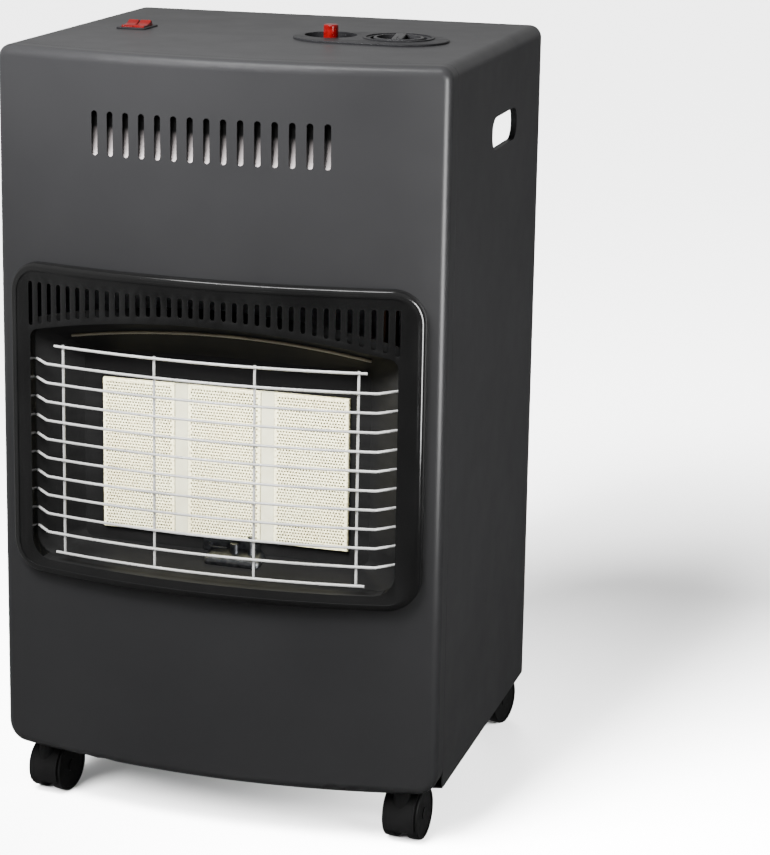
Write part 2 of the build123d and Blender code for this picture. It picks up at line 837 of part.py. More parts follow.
def housing(name):
    """A burner housing: a stepped box that holds a plaque, with its mixer tube below."""
    middle = plaque_centres[name]

    def room(margin, front, back):
        half = plaque_width / 2 + margin
        return block(middle - half, middle + half, front, back, plaque_low - margin, plaque_high + margin)

    body = room(plaque_clearance + housing_wall, housing_y, ledge_y + housing_wall)
    body += room(housing_wall - housing_ledge, ledge_y, housing_back_y)
    mixer_high = plaque_low + housing_ledge + housing_wall
    body += post(mixer_radius, middle, mixer_y, mixer_low, mixer_high)
    mouth = Cone(mixer_mouth_radius, mixer_radius, mixer_mouth_height)
    body += Pos(middle, mixer_y, mixer_low + mixer_mouth_height / 2) * mouth
    body -= room(plaque_clearance, housing_y - past, ledge_y)
    body -= room(-housing_ledge, ledge_y, housing_back_y - housing_wall)
    body -= post(mixer_radius - mixer_wall, middle, mixer_y, mixer_low - past, mixer_high + past)
    mouth = Cone(mixer_mouth_radius - mixer_wall, mixer_radius - mixer_wall, mixer_mouth_height)
    return body - Pos(middle, mixer_y, mixer_low + mixer_mouth_height / 2) * mouth


def injector_rail():
    y0 = mixer_y - rail_depth / 2
    y1 = mixer_y + rail_depth / 2
    rail = block(-rail_half_length, rail_half_length, y0, y1, rail_low, rail_low + rail_thick)
    for side in (-1, 1):
        x0, x1 = sorted((side * (rail_half_length - rail_depth), side * rail_half_length))
        rail += block(x0, x1, y0, shield_y, rail_low, rail_low + rail_thick)
    return rail


def outlet_y(i):
    return control_y + outlet_step * (i - 1.5)


def injectors():
    group = Part()
    for x in plaque_centres.values():
        group += post(injector_radius, x, mixer_y, injector_low, injector_low + injector_height)
        group += post(nozzle_radius, x, mixer_y, injector_low, mixer_low + nozzle_reach)
        group += rod(pipe_radius + past, (x, mixer_y, pipe_z), (x, pipe_end_y, pipe_z))
    return group


def gas_pipes():
    group = Part()
    for i, name in enumerate(("right", "centre", "left")):
        down_x = pipe_first_x + i * pipe_step_x
        down_y = pipe_end_y - pipe_front_gap - i * pipe_step_y
        jet_x = plaque_centres[name]
        group += pipe(pipe_radius, [
            (outlet_x, outlet_y(i), outlet_z), (down_x, outlet_y(i), outlet_z), (down_x, down_y, outlet_z),
            (down_x, down_y, pipe_z), (jet_x, down_y, pipe_z), (jet_x, pipe_end_y, pipe_z)], pipe_bend / 2)
    return group + pipe(pilot_pipe_radius, [
        (outlet_x, outlet_y(3), outlet_z), (pilot_line_x, outlet_y(3), outlet_z),
        (pilot_line_x, loom_y, outlet_z), (pilot_line_x, loom_y, pilot_line_z),
        (pilot_x, loom_y, pilot_line_z), (pilot_x, rise_y, pilot_line_z),
        (pilot_x, rise_y, pilot_z), (pilot_x, tail_y, pilot_z)], pipe_bend / 3)


def pilot_burner():
    bracket = block(electrode_x - bracket_margin, thermocouple_x + bracket_margin, bracket_y, box_back_y,
                    pilot_z - bracket_half_height, pilot_z + bracket_half_height)
    for x in (electrode_x, thermocouple_x):
        bracket -= rod(ferrule_radius + fit_gap,
                       (x, bracket_y - past, pilot_z), (x, box_back_y + past, pilot_z))
    front = bracket_y - pilot_lead
    stub = rod(ferrule_radius, (pilot_x, front, pilot_z), (pilot_x, tail_y, pilot_z))
    head = post(pilot_radius, pilot_x, front, pilot_z - bracket_half_height, pilot_z + bracket_half_height)
    return bracket + stub + head


def spark_electrode():
    tip_y = box_back_y - electrode_lead
    pin_y = tip_y + electrode_pin_radius
    insulator = rod(ferrule_radius, (electrode_x, tip_y, pilot_z), (electrode_x, tail_y, pilot_z))
    pin_end = pilot_x - pilot_radius - spark_gap
    return insulator + rod(electrode_pin_radius, (electrode_x, pin_y, pilot_z), (pin_end, pin_y, pilot_z))


def thermocouple():
    front = box_back_y - probe_lead
    below, above = probe_reach
    probe = post(probe_radius, thermocouple_x, front, pilot_z - below, pilot_z + above)
    probe += rod(ferrule_radius, (thermocouple_x, front, pilot_z), (thermocouple_x, tail_y, pilot_z))
    return probe + pipe(probe_line_radius, [
        (thermocouple_x, tail_y, pilot_z), (thermocouple_x, rise_y, pilot_z),
        (thermocouple_x, rise_y, probe_line_z), (thermocouple_x, loom_y, probe_line_z),
        (probe_line_x, loom_y, probe_line_z), (probe_line_x, loom_y, probe_outlet_z),
        (probe_line_x, outlet_y(0.5), probe_outlet_z), (outlet_x, outlet_y(0.5), probe_outlet_z)],
        pipe_bend / 3)


def ignition_lead():
    side_x = duct_half_width + spark_lead_margin
    back_y = (shield_y + housing_back_y) / 2
    return pipe(spark_lead_radius, [
        (igniter_x, control_y, igniter_low), (igniter_x, control_y, spark_lead_high),
        (igniter_x, spark_lead_y, spark_lead_high), (side_x, spark_lead_y, spark_lead_high),
        (side_x, back_y, spark_lead_high), (side_x, back_y, spark_lead_low),
        (electrode_x, back_y, spark_lead_low), (electrode_x, rise_y, spark_lead_low),
        (electrode_x, rise_y, pilot_z), (electrode_x, tail_y, pilot_z)],
        pipe_bend / 3)


def control_plate():
    pill = SlotOverall(plate_length, plate_width)
    plate = Pos(plate_x, plate_y, cabinet_top) * extrude(pill, plate_thick)
    plate = fillet(plate.faces().sort_by(Axis.Z)[-1].edges(), plate_thick / 2)
    knob_place = (knob_x, control_y)
    igniter_place = (igniter_x, control_y)
    plate += post(knob_ring_radius, *knob_place, cabinet_top, plate_top + ring_height)
    plate -= post(knob_ring_radius - knob_ring_width, *knob_place, plate_top, plate_top + clear)
    plate += post(igniter_cup_radius + cup_wall, *igniter_place, igniter_floor - cup_wall, plate_top)
    plate += post(knob_cup_radius + cup_wall, *knob_place, knob_floor - cup_wall, plate_top)
    plate -= post(igniter_cup_radius, *igniter_place, igniter_floor, plate_top + clear)
    plate -= post(knob_cup_radius, *knob_place, knob_floor, plate_top + clear)
    plate -= post(button_radius + button_gap, *igniter_place, igniter_floor - clear, plate_top)
    return plate - post(spindle_radius + past, *knob_place, knob_floor - clear, plate_top)


def gas_valve():
    body = block(knob_x - valve_half, valve_side, control_y - valve_half, valve_back, valve_low, valve_high)
    body = fillet(body.edges().filter_by(Axis.Z), valve_corner)
    body += post(neck_radius, knob_x, control_y, valve_high, neck_top)
    for i in range(4):
        body += rod(outlet_radius, (knob_x, outlet_y(i), outlet_z), (outlet_x, outlet_y(i), outlet_z))
    probe_y = outlet_y(0.5)
    body += rod(ferrule_radius, (knob_x, probe_y, probe_outlet_z), (outlet_x, probe_y, probe_outlet_z))
    body += rod(nozzle_hex, (knob_x, control_y, outlet_z), (knob_x, valve_back + outlet_length, outlet_z))
    body -= post(neck_bore, knob_x, control_y, neck_low, neck_top + past)
    return body - post(spindle_radius + shaft_gap, knob_x, control_y, valve_low + valve_floor, neck_top)


def knob_spring():
    return spring(spring_wire, neck_bore - spring_wire, neck_low, washer_low, knob_spring_turns,
                  knob_x, control_y)


def thrust_washer():
    high = washer_low + washer_thick
    washer = post(neck_bore - fit_gap, knob_x, control_y, washer_low, high)
    return washer - post(spindle_radius + 2 * shaft_gap, knob_x, control_y, washer_low - past, high + past)


def flat_shaft(radius, low, high):
    """A shaft with a flat, which the knob fits over."""
    shaft = post(radius, knob_x, control_y, low, high)
    flat_x = knob_x + spindle_flat * radius
    return shaft - block(flat_x, flat_x + radius, control_y - radius, control_y + radius, low, high)


def valve_spindle():
    collar_low = washer_low + washer_thick + 2 * shaft_gap
    foot = valve_low + valve_floor + knob_travel + knob_clearance
    spindle = post(spindle_radius, knob_x, control_y, foot, knob_low)
    spindle += post(neck_bore - 3 * fit_gap, knob_x, control_y, collar_low, collar_low + washer_thick)
    return spindle + flat_shaft(spindle_radius, knob_low, knob_low + knob_height - grip_fit)


def control_knob():
    top = knob_low + knob_height
    turn = Pos(knob_x, control_y) * Rot(0, 0, grip_turn)
    knob = post(knob_radius, knob_x, control_y, knob_low, plate_top + ring_height)
    knob = fillet(knob.faces().sort_by(Axis.Z)[-1].edges(), knob_edge_radius)
    bar = Rectangle(grip_width, 2 * knob_radius)
    pockets = Circle(knob_radius - knob_rim) - bar
    knob -= extrude(Plane.XY.offset(knob_low + knob_base) * turn * pockets, clear)
    bar &= Circle(knob_radius - knob_rim / 2)
    grip = extrude(Plane.XY.offset(knob_low) * turn * bar, knob_height)
    knob += fillet(grip.faces().sort_by(Axis.Z)[-1].edges(), knob_edge_radius)
    knob -= flat_shaft(spindle_radius + shaft_gap, knob_low - past, top - grip_fit + knob_clearance)
    mark = Pos(0, -(mark_inner + mark_outer) / 2) * Rectangle(mark_width, mark_outer - mark_inner)
    return knob - extrude(Plane.XY.offset(top - mark_depth) * turn * mark, past)


def piezo_igniter():
    body = post(igniter_radius, igniter_x, control_y, igniter_low, igniter_floor - cup_wall)
    return body - post(button_radius + button_gap, igniter_x, control_y, button_well, plate_top)


def piezo_button():
    button = post(button_radius, igniter_x, control_y, button_low, button_top)
    return fillet(button.faces().sort_by(Axis.Z)[-1].edges(), button_edge_radius)


def piezo_spring():
    return spring(spring_wire, button_radius - spring_wire, button_well, button_low, button_spring_turns,
                  igniter_x, control_y)


def inlet_nozzle():
    start = valve_back + outlet_length
    plane = Plane(origin=(knob_x, start, outlet_z), x_dir=(1, 0, 0), z_dir=(0, 1, 0))
    nozzle = extrude(plane * RegularPolygon(nozzle_hex, 6, major_radius=False), nozzle_hex_length)
    end = nozzle_hex_length + nozzle_tail
    nozzle += extrude(plane * Circle(nozzle_tail_radius), end)
    groove = Circle(nozzle_tail_radius) - Circle(nozzle_tail_radius - nozzle_groove_depth)
    for i in range(nozzle_grooves):
        nozzle -= extrude(plane.offset(end - nozzle_groove_pitch * (i + 1)) * groove, nozzle_groove_width)
    return nozzle - extrude(plane * Circle(nozzle_tail_radius / 2), end)


def switch_housing():
    flange = Box(switch_width, switch_length, switch_flange)
    flange = Pos(switch_x, switch_y, cabinet_top + switch_flange / 2) * flange
    flange = fillet(flange.edges().filter_by(Axis.Z), switch_corner)
    flange = chamfer(flange.faces().sort_by(Axis.Z)[-1].edges(), switch_chamfer)
    body_half = switch_width / 2 - switch_wall
    body_long = switch_length / 2 - switch_wall
    body = block(switch_x - body_half, switch_x + body_half, switch_y - body_long, switch_y + body_long,
                 cabinet_top - switch_depth, cabinet_top)
    pocket_half = 2 * rocker_offset - rocker_gap / 2
    pocket_long = rocker_reach + rocker_gap
    body += flange
    body -= block(switch_x - pocket_half, switch_x + pocket_half,
                  switch_y - pocket_long, switch_y + pocket_long,
                  pivot_z - rocker_reach - rocker_gap, cabinet_top + clear)
    foot = cabinet_top - switch_depth
    for i in (-1, 0, 1):
        x = switch_x + i * contact_pitch
        for y in (switch_y - contact_pitch, switch_y + contact_pitch):
            body += block(x - contact_width / 2, x + contact_width / 2, y - contact_thick / 2,
                          y + contact_thick / 2, foot - contact_length, foot + past)
    return body + rod(pivot_radius, (switch_x - body_half, switch_y, pivot_z),
                      (switch_x + body_half, switch_y, pivot_z))


def rocker(side):
    middle = switch_x + side * rocker_offset
    shape = make_face(Polyline((-rocker_reach, -rocker_foot), (rocker_reach, -rocker_foot),
                               (rocker_reach, rocker_rise), (0, rocker_waist),
                               (-rocker_reach, rocker_rise), close=True))
    shape = (shape & Circle(rocker_reach)) - Circle(pivot_radius + shaft_gap)
    body = side_slab(shape, -rocker_width / 2, rocker_width / 2)
    return Pos(middle, switch_y, pivot_z) * Rot(rocker_travel / 2, 0, 0) * body


def cable_gland():
    gland = rod(gland_radius, (gland_x, rear_y - gland_length, gland_z), (gland_x, rear_y + past, gland_z))
    gland += rod(gland_head, (gland_x, rear_y, gland_z), (gland_x, rear_y + gland_head_length, gland_z))
    nut = Plane(origin=(gland_x, rear_y - sheet, gland_z), x_dir=(1, 0, 0), z_dir=(0, -1, 0))
    gland += extrude(nut * RegularPolygon(gland_head, 6, major_radius=False), gland_nut)
    return gland - rod(gland_bore, (gland_x, rear_y - clear, gland_z), (gland_x, rear_y + clear, gland_z))


def fan_duct():
    wall = duct_half_width
    inner = wall - duct_sheet
    duct = block(-wall, wall, duct_front, duct_back, shield_top, duct_high)
    duct -= block(-inner, inner, duct_front - past, duct_back - duct_sheet,
                  shield_top + duct_sheet, duct_high - duct_sheet)
    inlet_back = duct_back - duct_inlet_inset
    duct -= block(-fan_half_length, fan_half_length, inlet_back - duct_inlet, inlet_back,
                  duct_high - 2 * duct_sheet, duct_high + past)
    bush_end = wall + bush_proud
    duct += rod(bush_radius, (inner - past, fan_y, fan_z), (bush_end, fan_y, fan_z))
    duct -= rod(fan_shaft_radius + shaft_gap, (0, fan_y, fan_z), (bush_end + past, fan_y, fan_z))
    return duct - rod(bush_radius, (-wall - past, fan_y, fan_z), (0, fan_y, fan_z))


def fan_drum():
    drum = rod(fan_shaft_radius, (-duct_half_width - motor_length, fan_y, fan_z),
               (duct_half_width + bush_proud - past, fan_y, fan_z))
    for x in (-fan_half_length, -fan_disc / 2, fan_half_length - fan_disc):
        drum += rod(fan_radius, (x, fan_y, fan_z), (x + fan_disc, fan_y, fan_z))
    blade = Pos(0, fan_radius - blade_inset, 0) * Rot(blade_turn, 0, 0) * Box(
        2 * fan_half_length, blade_thick, blade_width)
    for i in range(fan_blades):
        drum += Pos(0, fan_y, fan_z) * Rot(360 * i / fan_blades, 0, 0) * blade
    return drum


def fan_motor():
    wall = -duct_half_width
    stack_high = wall - motor_gap
    stack_low = stack_high - motor_stack
    far_plate = wall - motor_length + 2 * motor_post_radius
    corner = motor_half - motor_post_inset

    def square(half, x0, x1):
        return block(x0, x1, fan_y - half, fan_y + half, fan_z - half, fan_z + half)

    motor = square(motor_half, stack_low, stack_high)
    for y, z in ((-corner, -corner), (-corner, corner), (corner, -corner), (corner, corner)):
        motor += rod(motor_post_radius, (far_plate - motor_plate, fan_y + y, fan_z + z),
                     (wall, fan_y + y, fan_z + z))
    for x in (stack_high + motor_gap / 2, far_plate):
        motor += square(motor_half - motor_plate, x - motor_plate, x)
    motor += block(stack_low - motor_coil_overhang, stack_high + motor_coil_overhang,
                   fan_y - motor_coil_half, fan_y + motor_coil_half,
                   fan_z - motor_half - motor_coil_drop, fan_z - motor_half + past)
    return motor - rod(fan_shaft_radius + shaft_gap,
                       (wall - clear, fan_y, fan_z), (wall + past, fan_y, fan_z))


def heating_element():
    half = element_half_width
    front = corner_y + element_setback
    back = front + element_depth
    low = shield_top + duct_sheet
    high = duct_high - duct_sheet - fit_gap
    element = block(-half, half, front, back, low, high)
    element -= block(element_frame - half, half - element_frame, front - past, back + past,
                     low + element_frame, high - element_frame)
    for i in range(element_fins):
        x = (2 * half - 4 * element_frame) * (i / (element_fins - 1) - 0.5)
        element += block(x - element_fin_thick / 2, x + element_fin_thick / 2, front + past, back - past,
                         low + past, high - past)
    for i in range(element_bars):
        z = low + (high - low) * (i + 1) / (element_bars + 1)
        middle = (front + back) / 2
        element += rod(element_bar_radius, (past - half, middle, z), (half - past, middle, z))
    return element


def terminal_block():
    back = duct_back - duct_inlet_inset - duct_inlet
    middle = back - terminal_depth / 2
    high = duct_high + terminal_height
    body = block(terminal_x - terminal_length / 2, terminal_x + terminal_length / 2,
                 back - terminal_depth, back, duct_high, high)
    for i in range(terminal_holes):
        x = terminal_x + terminal_pitch * (i - (terminal_holes - 1) / 2)
        body -= post(terminal_hole_radius, x, middle, high - terminal_hole_depth, high + past)
    return body


def castor_frame(name):
    x, y = stems()[name]
    return Pos(x, y, 0) * Rot(0, 0, castor_turns[name])


def disc(radius, x0, x1):
    """A disc on a castor's axle, between two distances along it."""
    return rod(radius, (x0, castor_trail, wheel_radius), (x1, castor_trail, wheel_radius))


def castor_hood(name):
    outer = wheel_radius + hood_gap + hood_wall
    hood_top = tray_low - fit_gap - collar_height
    front = (-outer * cos(radians(hood_front_angle)), outer * sin(radians(hood_front_angle)))
    rear = (-outer * cos(radians(hood_rear_angle)), outer * sin(radians(hood_rear_angle)))
    below = make_face(Polyline(front, rear, (2 * outer, rear[1]), (2 * outer, -2 * outer),
                               (-2 * outer, -2 * outer), (-2 * outer, front[1]), close=True))
    below = side_slab(Pos(castor_trail, wheel_radius) * below, -clear, clear)
    shell = disc(outer, -hood_half_width, hood_half_width)
    shell += post(2 * stem_radius, 0, 0, stem_foot, hood_top)
    shell -= disc(wheel_radius + hood_gap, -hood_half_width - past, -web_half_width)
    shell -= disc(wheel_radius + hood_gap, web_half_width, hood_half_width + past)
    shell -= below
    shell += disc(hub_radius, -web_half_width, web_half_width)
    shell -= disc(axle_radius + shaft_gap, -web_half_width - past, web_half_width + past)
    shell -= post(stem_radius + shaft_gap, 0, 0, stem_foot - past, hood_top + past)
    return castor_frame(name) * shell


def castor_pins(name):
    top = tray_low - fit_gap
    pins = post(stem_radius, 0, 0, stem_foot, stem_top)
    pins += post(collar_radius, 0, 0, top - collar_height, top)
    return castor_frame(name) * (pins + disc(axle_radius, -axle_half_length, axle_half_length))


def castor_wheel(name, side):
    wheel = disc(wheel_radius, side * wheel_inner_x, side * castor_half_width)
    wheel = fillet(wheel.edges().filter_by(GeomType.CIRCLE), wheel_edge_radius)
    web = castor_half_width - wheel_disc
    inside = wheel_inner_x - past
    wheel -= disc(wheel_radius - wheel_rim, side * inside, side * web)
    wheel += disc(hub_radius, side * wheel_inner_x, side * web)
    dish = castor_half_width - wheel_dish
    wheel -= disc(wheel_radius - wheel_rim, side * dish, side * (castor_half_width + past))
    wheel += disc(hub_radius, side * web, side * castor_half_width)
    bore_end = axle_half_length + hood_gap / 2
    wheel -= disc(axle_radius + shaft_gap, side * inside, side * bore_end)
    return castor_frame(name) * wheel


def castor_sockets():
    group = Part()
    for x, y in stems().values():
        socket = post(socket_radius, x, y, tray_top, stem_top + 3)
        socket += post(socket_flange_radius, x, y, tray_top, tray_top + socket_flange)
        group += socket - post(stem_radius + shaft_gap, x, y, tray_top - past, stem_top + past)
    return group


parts = {
    "cabinet_wrap": cabinet_wrap,
    "front_panel": front_panel,
    "base_tray": base_tray,
    "screws": screws,
    "heat_shield": heat_shield,
    "rear_cover": rear_cover,
    "cover_cradles": cover_cradles,
    "burner_surround": burner_surround,
    "heat_box": heat_box,
    "wire_guard": wire_guard,
    "joint_strips": joint_strips,
    "injector_rail": injector_rail,
    "injectors": injectors,
    "gas_pipes": gas_pipes,
    "pilot_burner": pilot_burner,
    "spark_electrode": spark_electrode,
    "thermocouple": thermocouple,
    "ignition_lead": ignition_lead,
    "control_plate": control_plate,
    "gas_valve": gas_valve,
    "knob_spring": knob_spring,
    "thrust_washer": thrust_washer,
    "valve_spindle": valve_spindle,
    "control_knob": control_knob,
    "piezo_igniter": piezo_igniter,
    "piezo_button": piezo_button,
    "piezo_spring": piezo_spring,
    "inlet_nozzle": inlet_nozzle,
    "switch_housing": switch_housing,
    "rocker_left": lambda: rocker(-1),
    "rocker_right": lambda: rocker(1),
    "cable_gland": cable_gland,
    "fan_duct": fan_duct,
    "fan_drum": fan_drum,
    "fan_motor": fan_motor,
    "heating_element": heating_element,
    "terminal_block": terminal_block,
    "castor_sockets": castor_sockets,
}
for place in plaque_centres:
    parts[f"plaque_{place}"] = lambda place=place: plaque(place)
    parts[f"burner_housing_{place}"] = lambda place=place: housing(place)
for corner in castor_turns:
    parts[f"castor_hood_{corner}"] = lambda corner=corner: castor_hood(corner)
    parts[f"castor_pins_{corner}"] = lambda corner=corner: castor_pins(corner)
    for hand, sign in (("left", -1), ("right", 1)):
        parts[f"castor_wheel_{corner}_{hand}"] = lambda corner=corner, sign=sign: castor_wheel(corner, sign)

os.makedirs("parts", exist_ok=True)
for name, make in parts.items():
    export_step(make(), f"parts/{name}.step")
    print("made", name)
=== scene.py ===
import json
from math import asin, cos, pi, radians, sin

import bpy
from mathutils import Matrix, Vector


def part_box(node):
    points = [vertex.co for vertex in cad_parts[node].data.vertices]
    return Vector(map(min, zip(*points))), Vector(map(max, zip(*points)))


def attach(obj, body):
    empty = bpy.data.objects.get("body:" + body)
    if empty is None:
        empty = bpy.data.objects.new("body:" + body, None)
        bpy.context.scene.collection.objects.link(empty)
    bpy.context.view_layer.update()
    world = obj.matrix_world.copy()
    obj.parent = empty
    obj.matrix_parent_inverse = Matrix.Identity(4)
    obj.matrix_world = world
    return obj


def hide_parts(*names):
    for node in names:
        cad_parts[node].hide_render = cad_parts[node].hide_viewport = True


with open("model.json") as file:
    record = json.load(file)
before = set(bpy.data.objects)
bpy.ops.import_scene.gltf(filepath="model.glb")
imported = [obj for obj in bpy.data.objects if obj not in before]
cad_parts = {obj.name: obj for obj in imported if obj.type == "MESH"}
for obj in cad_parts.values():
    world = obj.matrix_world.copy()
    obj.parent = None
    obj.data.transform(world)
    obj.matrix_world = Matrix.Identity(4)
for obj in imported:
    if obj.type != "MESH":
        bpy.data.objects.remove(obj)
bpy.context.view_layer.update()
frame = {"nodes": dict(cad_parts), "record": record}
nodes = frame["nodes"]
record = frame["record"]
print("frame loaded,", len(nodes), "nodes")

# The camera stands where the photograph was taken from.
cameraSetup = {
    "place": (0.7807, -2.3292, 1.0244),
    "azimuth": 17.431,
    "elevation": 12.972,
    "roll": 0.683,
    "focalPixels": 2577.5,
    "centreShift": (-60, -110),  # of the lens axis from the middle of the picture, in pixels
    "picture": (770, 855),
    "sensor": 36.0,
}


def makeCamera(setup):
    data = bpy.data.cameras.new("camera")
    longSide = max(setup["picture"])
    data.sensor_width = setup["sensor"]
    data.lens = setup["focalPixels"] / longSide * setup["sensor"]
    data.shift_x = -setup["centreShift"][0] / longSide
    data.shift_y = setup["centreShift"][1] / longSide
    camera = bpy.data.objects.new("camera", data)
    bpy.context.scene.collection.objects.link(camera)
    turn = Matrix.Rotation(radians(setup["azimuth"]), 4, "Z")
    tilt = Matrix.Rotation(radians(90 - setup["elevation"]), 4, "X")
    roll = Matrix.Rotation(radians(setup["roll"]), 4, "Z")
    camera.matrix_world = Matrix.Translation(setup["place"]) @ turn @ tilt @ roll
    bpy.context.scene.camera = camera


makeCamera(cameraSetup)
print("camera placed")

# A pale floor, a soft sky, a soft sun from the upper left and softboxes.
studio = {
    "floorSize": 120.0,
    "floorColour": (0.88, 0.88, 0.88),
    "floorRoughness": 0.9,
    "floorSpecular": 0.1,
    "skyHigh": 0.45,
    "skyLow": 0.11,       # what gloss sees below the horizon, where the paper gives no glare
    "skyLeft": 0.42,      # and what it sees there on the left
    "horizon": (-0.05, 0.12),    # height of the view's direction over which low turns to high
    "leftward": (-0.2, -0.9),    # and its reach to the left over which low turns to left
    "suns": {
        "mainSun": {"turn": (50, 0, -25), "spread": 28, "strength": 22},
        "fillSun": {"turn": (0, 0, 0), "spread": 140, "strength": 0.4},
    },
    "boxes": {
        "frontBox": {
            "place": (-0.25, -0.75, 1.2), "target": (0, -0.2, 0.85), "size": (0.7, 0.4),
            "power": 130, "spread": 90, "gloss": False, "diffuse": True,
        },
        "sideBox": {
            "place": (1.4, 0.15, 0.55), "target": (0.2, 0, 0.42), "size": (0.8, 0.8),
            "power": 31, "spread": 60, "gloss": False, "diffuse": True,
        },
        "rearBox": {
            "place": (-0.3, 1.1, 0.6), "target": (-0.05, 0.2, 0.5), "size": (0.6, 0.6),
            "power": 16, "spread": 60, "gloss": False, "diffuse": True,
        },
        "edgeBox": {
            "place": (0.62, -0.46, 0.50), "target": (0.2, -0.17, 0.50), "size": (0.20, 0.52),
            "power": 13, "spread": 180, "gloss": True, "diffuse": True,
        },
        "ridgeBox": {
            "place": (-0.1, -0.5, 1.7), "target": (0, -0.17, 0.6), "size": (0.9, 0.16),
            "power": 15, "spread": 180, "gloss": True, "diffuse": False,
        },
    },
}


def makeFloor(setup):
    bpy.ops.object.select_all(action="DESELECT")
    bpy.ops.mesh.primitive_plane_add(size=setup["floorSize"])
    floor = bpy.context.object
    floor.name = "floor"
    paper = bpy.data.materials.new("floorPaper")
    paper.use_nodes = True
    shader = paper.node_tree.nodes["Principled BSDF"]
    shader.inputs["Base Color"].default_value = (*setup["floorColour"], 1)
    shader.inputs["Roughness"].default_value = setup["floorRoughness"]
    shader.inputs["Specular IOR Level"].default_value = setup["floorSpecular"]
    floor.data.materials.append(paper)
    floor.visible_glossy = False


def skyRamp(tree, source, span, low, high):
    ramp = tree.nodes.new("ShaderNodeMapRange")
    ramp.inputs["From Min"].default_value, ramp.inputs["From Max"].default_value = span
    ramp.inputs["To Min"].default_value = low
    ramp.inputs["To Max"].default_value = high
    tree.links.new(source, ramp.inputs["Value"])
    return ramp


def makeSky(setup):
    world = bpy.data.worlds.new("sky")
    world.use_nodes = True
    tree = world.node_tree
    place = tree.nodes.new("ShaderNodeTexCoord")
    split = tree.nodes.new("ShaderNodeSeparateXYZ")
    tree.links.new(place.outputs["Generated"], split.inputs["Vector"])
    low, high, left = setup["skyLow"], setup["skyHigh"], setup["skyLeft"]
    across = skyRamp(tree, split.outputs["X"], setup["leftward"], low, left)
    upward = skyRamp(tree, split.outputs["Z"], setup["horizon"], low, high)
    tree.links.new(across.outputs["Result"], upward.inputs["To Min"])
    sky = tree.nodes["Background"]
    sky.inputs["Color"].default_value = (1, 1, 1, 1)
    tree.links.new(upward.outputs["Result"], sky.inputs["Strength"])
    bpy.context.scene.world = world


def makeLights(setup):
    for name, sun in setup["suns"].items():
        light = bpy.data.lights.new(name, "SUN")
        light.energy = sun["strength"]
        light.angle = radians(sun["spread"])
        lamp = bpy.data.objects.new(name, light)
        lamp.rotation_euler = [radians(a) for a in sun["turn"]]
        lamp.visible_glossy = False
        bpy.context.scene.collection.objects.link(lamp)
    for name, box in setup["boxes"].items():
        light = bpy.data.lights.new(name, "AREA")
        light.shape = "RECTANGLE"
        light.size, light.size_y = box["size"]
        light.energy = box["power"]
        light.spread = radians(box["spread"])
        lamp = bpy.data.objects.new(name, light)
        aim = Vector(box["target"]) - Vector(box["place"])
        lamp.location = box["place"]
        lamp.rotation_euler = aim.to_track_quat("-Z", "Y").to_euler()
        lamp.visible_glossy = box["gloss"]
        lamp.visible_diffuse = box["diffuse"]
        lamp.visible_camera = False
        bpy.context.scene.collection.objects.link(lamp)


makeFloor(studio)
makeSky(studio)
makeLights(studio)
print("studio lit")

